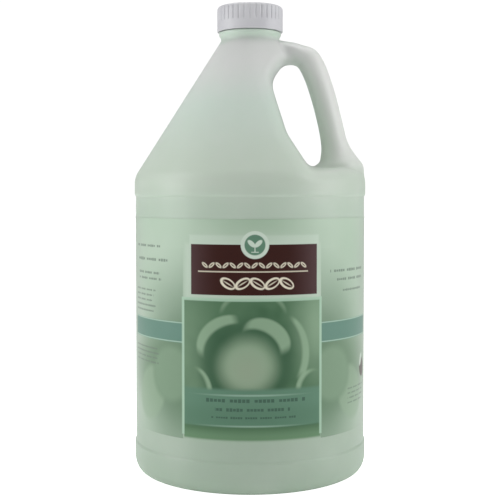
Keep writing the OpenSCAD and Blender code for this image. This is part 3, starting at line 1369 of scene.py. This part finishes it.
    def make(self, tint: bpy.types.NodeTree, region: Region) -> bpy.types.Material:
        """Make the material of one region.

        Args:
            tint: The shared colour group of the filled jug.
            region: The region it is for.

        Returns:
            The material.
        """
        material, g, shader = new_material(f"film_{region.value}")
        point = g.object_point()
        base = g.add("ShaderNodeGroup", node_tree=tint)
        g.put(base.inputs[0], point)
        split = g.add("ShaderNodeSeparateXYZ")
        g.put(split.inputs[0], point)
        back = g.math("MULTIPLY", split.outputs[1], -1.0)
        u = g.math("MULTIPLY", g.math("ARCTAN2", split.outputs[0], back), self.radius)
        z = g.math("MULTIPLY", split.outputs[2], 1000.0)
        art = Artwork(g, u, z, base.outputs[0])
        art.point = point
        painters = {
            Region.PLATE: self.plate,
            Region.PICTURE: self.picture,
            Region.SIDES: self.sides,
            Region.BACK: self.rows_behind,
        }
        # Painted shade: the side and back film is painted greyer from 72 to 104 mm round from the front, standing in
        # for the grey the jug's edges take on near its outline.
        if region in (Region.SIDES, Region.BACK):
            art.paint(g.ramp(g.math("ABSOLUTE", u), 72.0, 104.0), Tint(180, 190, 179), 0.4)
        painters[region](art)
        g.put(shader.inputs["Base Color"], art.color)
        grain = g.noise(point, 700.0, 2.0)
        film = g.math("MULTIPLY_ADD", grain, 0.10, 0.30)
        g.put(shader.inputs["Roughness"], g.math("MULTIPLY_ADD", art.ink, 0.06, film))
        shader.inputs["Specular IOR Level"].default_value = 0.22
        shader.inputs["Subsurface Weight"].default_value = 0.05
        shader.inputs["Subsurface Radius"].default_value = (0.002, 0.003, 0.002)
        shader.inputs["Subsurface Scale"].default_value = 1.0
        ripple = g.noise(point, 38.0, 2.0)
        height = g.math("ADD", g.math("MULTIPLY", ripple, 0.6), g.math("MULTIPLY", art.ink, 0.12))
        g.put(shader.inputs["Normal"], g.bump(height, 0.25, 0.0005))
        return material


@dataclass(frozen=True)
class CapPlastic:
    """Moulded white cap plastic."""

    roughness: float = 0.42

    def make(self) -> bpy.types.Material:
        """Make the material.

        Returns:
            The material.
        """
        material, g, shader = new_material("cap_plastic")
        point = g.object_point()
        cloud = g.noise(point, 60.0, 3.0)
        g.put(shader.inputs["Base Color"], g.mix(g.ramp(cloud, 0.3, 0.7), Tint(196, 196, 201), Tint(206, 206, 210)))
        grain = g.noise(point, 1400.0, 2.0)
        g.put(shader.inputs["Roughness"], g.math("MULTIPLY_ADD", grain, 0.14, self.roughness - 0.07))
        shader.inputs["Subsurface Weight"].default_value = 0.08
        shader.inputs["Subsurface Radius"].default_value = (0.002, 0.002, 0.002)
        shader.inputs["Subsurface Scale"].default_value = 1.0
        g.put(shader.inputs["Normal"], g.bump(grain, 0.25, 0.00012))
        return material


@dataclass(frozen=True)
class ShampooGel:
    """Pale green gel."""

    def make(self) -> bpy.types.Material:
        """Make the material.

        Returns:
            The material.
        """
        material, g, shader = new_material("shampoo_gel")
        point = g.object_point()
        swirl = g.noise(point, 22.0, 4.0)
        g.put(shader.inputs["Base Color"], g.mix(g.ramp(swirl, 0.3, 0.7), Tint(156, 190, 148), Tint(186, 212, 174)))
        g.put(shader.inputs["Roughness"], g.math("MULTIPLY_ADD", swirl, 0.08, 0.08))
        shader.inputs["Subsurface Weight"].default_value = 0.3
        shader.inputs["Subsurface Radius"].default_value = (0.01, 0.014, 0.01)
        shader.inputs["Subsurface Scale"].default_value = 1.0
        g.put(shader.inputs["Normal"], g.bump(swirl, 0.2, 0.0005))
        return material


@dataclass(frozen=True)
class LinerFoam:
    """Fine closed-cell foam."""

    def make(self) -> bpy.types.Material:
        """Make the material.

        Returns:
            The material.
        """
        material, g, shader = new_material("liner_foam")
        point = g.object_point()
        cells = g.add("ShaderNodeTexVoronoi")
        g.put(cells.inputs["Vector"], point)
        cells.inputs["Scale"].default_value = 1800.0
        pore = g.ramp(cells.outputs["Distance"], 0.1, 0.6)
        g.put(shader.inputs["Base Color"], g.mix(pore, Tint(206, 206, 202), Tint(238, 238, 235)))
        g.put(shader.inputs["Roughness"], g.math("MULTIPLY_ADD", pore, 0.15, 0.75))
        g.put(shader.inputs["Normal"], g.bump(pore, 0.4, 0.0002))
        return material


# --------------------------------------------------------------------------- pieces


@dataclass
class Jug:
    """The blown jug with its handle and threaded neck."""

    sizes: JugSizes
    thread_base_w: float = 1.9
    thread_crest_w: float = 0.8
    thread_depth: float = 1.3
    thread_drop: float = 2.9

    def neck_outline(self) -> list[Point]:
        """Outline of the neck from its waist over the land and down the bore.

        Returns:
            Radius and height of each point.
        """
        s = self.sizes
        top = s.bead_z
        points = [
            (s.waist_r + 0.35, s.cone_z1 + 3.1),
            (s.waist_r + 0.75, s.cone_z1 + 3.9),
            (s.bead_r - 0.2, s.cone_z1 + 4.7),
        ]
        points += arc(s.bead_r - 0.4, s.cone_z1 + 5.2, 0.4, 0, 0, 1)[:1]
        points += arc(s.bead_r - 0.4, top - 0.4, 0.4, 0, 90, 4)
        points += [(s.neck_r + 0.3, top), (s.neck_r, top + 0.3)]
        points += [(s.neck_r, top + 0.3 + (s.finish_h - 0.9) * i / 4) for i in range(1, 5)]
        points += arc(s.neck_r - 0.5, s.land_z - 0.5, 0.5, 20, 90, 3)
        points += arc(s.bore_r + 0.4, s.land_z - 0.4, 0.4, 90, 180, 3)
        points += [(s.bore_r, s.land_z - 8), (s.bore_r, s.bead_z), (s.bore_r + 0.2, s.bead_z - 1.2)]
        points += [(s.bore_r + 1.5, s.bead_z - 3.0), (s.waist_r - 1.1, s.bead_z - 3.8)]
        return points

    def build(self) -> bpy.types.Object:
        """Build the jug.

        Returns:
            The jug's object.
        """
        s = self.sizes
        mesh = bmesh.new()
        Shell(s).build(mesh)
        copied = bmesh.ops.duplicate(mesh, geom=mesh.verts[:] + mesh.edges[:] + mesh.faces[:])
        inner = [v for v in copied["geom"] if isinstance(v, bmesh.types.BMVert)]
        faces = [f for f in copied["geom"] if isinstance(f, bmesh.types.BMFace)]
        inner_set = set(inner)
        outer = [v for v in mesh.verts if v not in inner_set]
        mesh.normal_update()
        moved = [v.co - v.normal * s.wall for v in inner]
        for v, co in zip(inner, moved):
            v.co = co
        for v in inner:
            if v.is_boundary:
                r = math.hypot(v.co.x, v.co.y)
                v.co = (v.co.x * (s.waist_r - 0.8) / r, v.co.y * (s.waist_r - 0.8) / r, Shell.high_z)
        bmesh.ops.reverse_faces(mesh, faces=faces)
        neck = spin_profile(mesh, self.neck_outline(), 192)
        outline = self.neck_outline()
        first, last = outline[0], outline[-1]
        rims = [v for v in neck if v.is_boundary]
        outer_rim = sorted(
            (v for v in rims if abs(math.hypot(v.co.x, v.co.y) - first[0]) < 0.2),
            key=lambda v: math.atan2(v.co.y, v.co.x),
        )
        inner_rim = sorted(
            (v for v in rims if abs(math.hypot(v.co.x, v.co.y) - last[0]) < 0.2),
            key=lambda v: math.atan2(v.co.y, v.co.x),
        )
        zip_loops(mesh, boundary_loop(outer, Shell.high_z, 0.2), outer_rim)
        zip_loops(mesh, boundary_loop(inner, Shell.high_z, 0.2), inner_rim)
        bmesh.ops.recalc_face_normals(mesh, faces=mesh.faces[:])
        helix_ridge(
            mesh,
            s.neck_r,
            s.neck_r + self.thread_depth,
            s.land_z - self.thread_drop - s.turns * s.pitch,
            s.pitch,
            s.turns,
            self.thread_base_w,
            self.thread_crest_w,
        )
        open_edges = sum(1 for e in mesh.edges if not e.is_manifold)
        LOG.info("jug: %d open or shared edges", open_edges)
        return finish_mesh("jug", mesh, 40.0)

    def dress(self, item: bpy.types.Object, material: bpy.types.Material) -> None:
        """Give the jug its material and its place in the frame.

        Args:
            item: The jug's object.
            material: Its material.
        """
        item.data.materials.append(material)
        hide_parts("bottle")
        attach(item, Body.JUG.value)


@dataclass
class Shampoo:
    """The gel inside the jug, up to its fill line."""

    sizes: JugSizes
    clearance: float = 0.3

    def build(self) -> bpy.types.Object:
        """Build the gel.

        Returns:
            The gel's object.
        """
        s = self.sizes
        mesh = bmesh.new()
        Shell(s).build(mesh)
        inset = s.wall + self.clearance
        moved = [v.co - v.normal * inset for v in mesh.verts]
        for v, co in zip(mesh.verts, moved):
            v.co = co
        bmesh.ops.bisect_plane(
            mesh,
            geom=mesh.verts[:] + mesh.edges[:] + mesh.faces[:],
            dist=1e-5,
            plane_co=(0, 0, s.fill_z),
            plane_no=(0, 0, 1),
            clear_outer=True,
        )
        rim = [e for e in mesh.edges if e.is_boundary]
        bmesh.ops.holes_fill(mesh, edges=rim, sides=0)
        bmesh.ops.triangulate(mesh, faces=[f for f in mesh.faces if len(f.verts) > 4])
        return finish_mesh("shampoo_gel", mesh, 50.0)

    def dress(self, item: bpy.types.Object, material: bpy.types.Material) -> None:
        """Give the gel its material and its place in the frame.

        Args:
            item: The gel's object.
            material: Its material.
        """
        item.data.materials.append(material)
        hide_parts("shampoo")
        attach(item, Body.JUG.value)


@dataclass
class Label:
    """The printed film round the jug's panel."""

    radius: float = 76.25
    thickness: float = 0.12
    gap_w: float = 16.0
    steps: int = 240
    rows: tuple[float, ...] = (33.0, 50.0, 68.0, 86.0, 104.0, 120.4, 132.0, 144.0, 156.0, 168.0)
    frame: tuple[float, float] = (-43.3, 46.1)
    side_w: float = 62.0

    def region(self, x: float, y: float, z: float) -> Region:
        """Tell which printed region a point of the film lies in.

        Args:
            x: Its x in mm.
            y: Its y in mm.
            z: Its height in mm.

        Returns:
            The region.
        """
        u = math.atan2(x, -y) * self.radius
        left, right = self.frame
        if left < u < right:
            return Region.PLATE if z > 120.4 else Region.PICTURE
        if left - self.side_w < u < right + self.side_w:
            return Region.SIDES
        return Region.BACK

    def build(self) -> bpy.types.Object:
        """Build the film.

        Returns:
            The film's object.
        """
        turn = 2 * math.pi * self.gap_w / (2 * math.pi * 76.2)
        start, sweep = math.pi / 2 + turn / 2, 2 * math.pi - turn
        mesh = bmesh.new()
        verts = []
        for z in self.rows:
            verts.append(mesh.verts.new((self.radius * math.cos(start), self.radius * math.sin(start), z)))
        edges = [mesh.edges.new(pair) for pair in zip(verts, verts[1:])]
        bmesh.ops.spin(
            mesh, geom=verts + edges, cent=(0, 0, 0), axis=(0, 0, 1), angle=sweep, steps=self.steps
        )
        bmesh.ops.recalc_face_normals(mesh, faces=mesh.faces[:])
        middle = mesh.faces[:][len(mesh.faces) // 2]
        if middle.normal.dot(middle.calc_center_median()) < 0:
            bmesh.ops.reverse_faces(mesh, faces=mesh.faces[:])
        sheet = mesh.faces[:]
        copied = bmesh.ops.extrude_face_region(mesh, geom=sheet)
        for v in copied["geom"]:
            if isinstance(v, bmesh.types.BMVert):
                k = (self.radius + self.thickness) / math.hypot(v.co.x, v.co.y)
                v.co.x *= k
                v.co.y *= k
        order = list(Region)
        for face in mesh.faces:
            face.material_index = order.index(self.region(*face.calc_center_median()))
        return finish_mesh("label", mesh, 30.0)

    def dress(self, item: bpy.types.Object, materials: Sequence[bpy.types.Material]) -> None:
        """Give the film its materials and its place in the frame.

        Args:
            item: The film's object.
            materials: One material for each region, in the regions' order.
        """
        for material in materials:
            item.data.materials.append(material)
        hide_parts("label")
        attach(item, Body.JUG.value)


@dataclass
class Cap:
    """The ribbed screw cap."""

    low_z: float = 290.73
    in_z: float = 306.07
    high_z: float = 307.67
    in_r: float = 19.8
    out_r: float = 21.9
    edge_r: float = 2.4
    band_h: float = 6.4
    ribs: int = 36
    groove: float = 0.5
    groove_share: float = 0.42
    groove_power: float = 1.6
    steps_per_rib: int = 14
    pitch: float = 4.233
    turns: float = 1.25

    def outline(self) -> list[Point]:
        """Outline from the middle of the inside round the skirt to the top.

        Returns:
            Radius and height of each point.
        """
        band = self.low_z + self.band_h
        points: list[Point] = [(0.0, self.in_z), (self.in_r - 4, self.in_z)]
        points += [(self.in_r - 0.3, self.in_z), (self.in_r, self.in_z - 0.3)]
        points += [(self.in_r, self.low_z + 3), (self.in_r, self.low_z + 0.5), (self.in_r + 0.4, self.low_z)]
        points += arc(self.out_r - 0.35, self.low_z + 0.35, 0.35, -90, 0, 4)
        points += [(self.out_r, self.low_z + 2), (self.out_r, self.low_z + 4), (self.out_r, band - 0.5)]
        points += [(self.out_r, band + rise) for rise in (-0.1, 0.2, 0.5, 0.9)]
        top = self.high_z - self.edge_r
        points += [(self.out_r, band + 0.9 + (top - band - 0.9) * i / 5) for i in range(1, 5)]
        points += arc(self.out_r - self.edge_r, top, self.edge_r, 0, 90, 10)
        points += [(self.out_r - self.edge_r - 2, self.high_z), (8.0, self.high_z - 0.1), (0.0, self.high_z - 0.12)]
        return points

    def build(self) -> bpy.types.Object:
        """Build the cap.

        Returns:
            The cap's object.
        """
        mesh = bmesh.new()
        made = spin_profile(mesh, self.outline(), self.ribs * self.steps_per_rib)
        band = self.low_z + self.band_h
        top = self.high_z - 0.5
        for v in made:
            r = math.hypot(v.co.x, v.co.y)
            if r < self.out_r - self.edge_r or v.co.z < band - 0.3:
                continue
            turn = math.atan2(v.co.y, v.co.x) / (2 * math.pi) * self.ribs
            side = 1 - abs((turn % 1.0) - 0.5) * 2
            share = max(0.0, 1 - side / self.groove_share) ** self.groove_power
            rise = min(1.0, max(0.0, (v.co.z - band) / 0.8)) * min(1.0, max(0.0, (top - v.co.z) / 1.2))
            cut = self.groove * share * rise
            v.co.x *= (r - cut) / r
            v.co.y *= (r - cut) / r
        helix_ridge(
            mesh,
            self.in_r,
            self.in_r - 1.3,
            305.1 - 2.9 - self.turns * self.pitch - 1.9 - 0.3,
            self.pitch,
            self.turns,
            1.9,
            0.8,
        )
        return finish_mesh("screw_cap", mesh, 40.0)

    def dress(self, item: bpy.types.Object, material: bpy.types.Material) -> None:
        """Give the cap its material and its place in the frame.

        Args:
            item: The cap's object.
            material: Its material.
        """
        item.data.materials.append(material)
        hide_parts("cap")
        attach(item, Body.CLOSURE.value)


@dataclass
class Liner:
    """The foam liner, kept from the CAD."""

    node: str = "cap_liner"

    def dress(self, material: bpy.types.Material) -> None:
        """Give the CAD node its material.

        Args:
            material: The foam.
        """
        item = frame["nodes"][self.node]
        item.data.materials.clear()
        item.data.materials.append(material)


# --------------------------------------------------------------------------- studio


@dataclass(frozen=True)
class Studio:
    """Camera, lights and floor. Distances in metres."""

    distance: float = 0.700
    height: float = 0.1857
    pitch: float = 1.66
    lens: float = 74.97
    shift: float = -0.06
    surround: float = 0.37

    def camera(self) -> None:
        """Make the scene's camera."""
        data = bpy.data.cameras.new("camera")
        item = bpy.data.objects.new("camera", data)
        bpy.context.scene.collection.objects.link(item)
        item.location = (0, -self.distance, self.height)
        item.rotation_euler = (math.radians(90 - self.pitch), 0, 0)
        data.sensor_width = 36
        data.lens = self.lens
        data.shift_y = self.shift
        data.clip_start, data.clip_end = 0.01, 20
        bpy.context.scene.camera = item

    def light(self, name: str, place: Sequence[float], size: Sequence[float], power: float) -> None:
        """Add one soft light that faces the jug.

        Args:
            name: The light's name.
            place: Its place.
            size: Its width and height.
            power: Its power in watts.
        """
        data = bpy.data.lights.new(name, "AREA")
        data.shape = "RECTANGLE"
        data.size, data.size_y = size
        data.energy = power
        item = bpy.data.objects.new(name, data)
        item.location = place
        aim = Vector((0, 0, 0.16)) - Vector(place)
        item.rotation_euler = aim.to_track_quat("-Z", "Y").to_euler()
        bpy.context.scene.collection.objects.link(item)

    def floor(self) -> None:
        """Lay the pale floor."""
        mesh = bmesh.new()
        bmesh.ops.create_grid(mesh, x_segments=1, y_segments=1, size=6)
        data = bpy.data.meshes.new("floor")
        mesh.to_mesh(data)
        mesh.free()
        item = bpy.data.objects.new("floor", data)
        item.location = (0, 0, -0.0002)
        bpy.context.scene.collection.objects.link(item)
        material, g, shader = new_material("floor")
        shader.inputs["Base Color"].default_value = (0.9, 0.9, 0.9, 1)
        shader.inputs["Roughness"].default_value = 0.9
        shader.inputs["Emission Color"].default_value = (1, 1, 1, 1)
        path = g.add("ShaderNodeLightPath")
        glow = g.math("MULTIPLY_ADD", path.outputs["Is Camera Ray"], 0.85, 0.15)
        g.put(shader.inputs["Emission Strength"], glow)
        data.materials.append(material)

    def world(self) -> None:
        """Light the surround and show it white to the camera."""
        world = bpy.data.worlds.new("surround")
        bpy.context.scene.world = world
        world.use_nodes = True
        g = Graph(world.node_tree)
        back = world.node_tree.nodes["Background"]
        path = g.add("ShaderNodeLightPath")
        back.inputs["Color"].default_value = (1, 1, 1, 1)
        g.put(
            back.inputs["Strength"],
            g.math("MULTIPLY_ADD", path.outputs["Is Camera Ray"], 1.05 - self.surround, self.surround),
        )

    def build(self) -> None:
        """Make everything but the camera."""
        self.floor()
        self.world()
        self.light("left", (-0.75, -0.20, 0.35), (0.5, 0.9), 3.3)
        self.light("right", (0.75, -0.20, 0.35), (0.5, 0.9), 2.95)
        self.light("front", (0.0, -1.3, 0.75), (0.8, 0.5), 0.7)
        self.light("top", (0.05, 0.12, 1.2), (0.9, 0.7), 5.0)
        bpy.context.scene.view_settings.view_transform = "Standard"


def main() -> None:
    """Build the scene."""
    logging.basicConfig(level=logging.INFO, format="%(name)s: %(message)s")
    studio = Studio()
    studio.camera()
    sizes = JugSizes()
    tint = milky_and_painted_light_group()
    plastic = MilkyPlastic().make(tint)

    jug = Jug(sizes)
    jug.dress(jug.build(), plastic)
    shampoo = Shampoo(sizes)
    shampoo.dress(shampoo.build(), ShampooGel().make())
    label = Label()
    film = LabelFilm()
    label.dress(label.build(), [film.make(tint, region) for region in Region])
    cap = Cap()
    cap.dress(cap.build(), CapPlastic().make())
    Liner().dress(LinerFoam().make())
    studio.build()


if __name__ == "__main__":
    main()
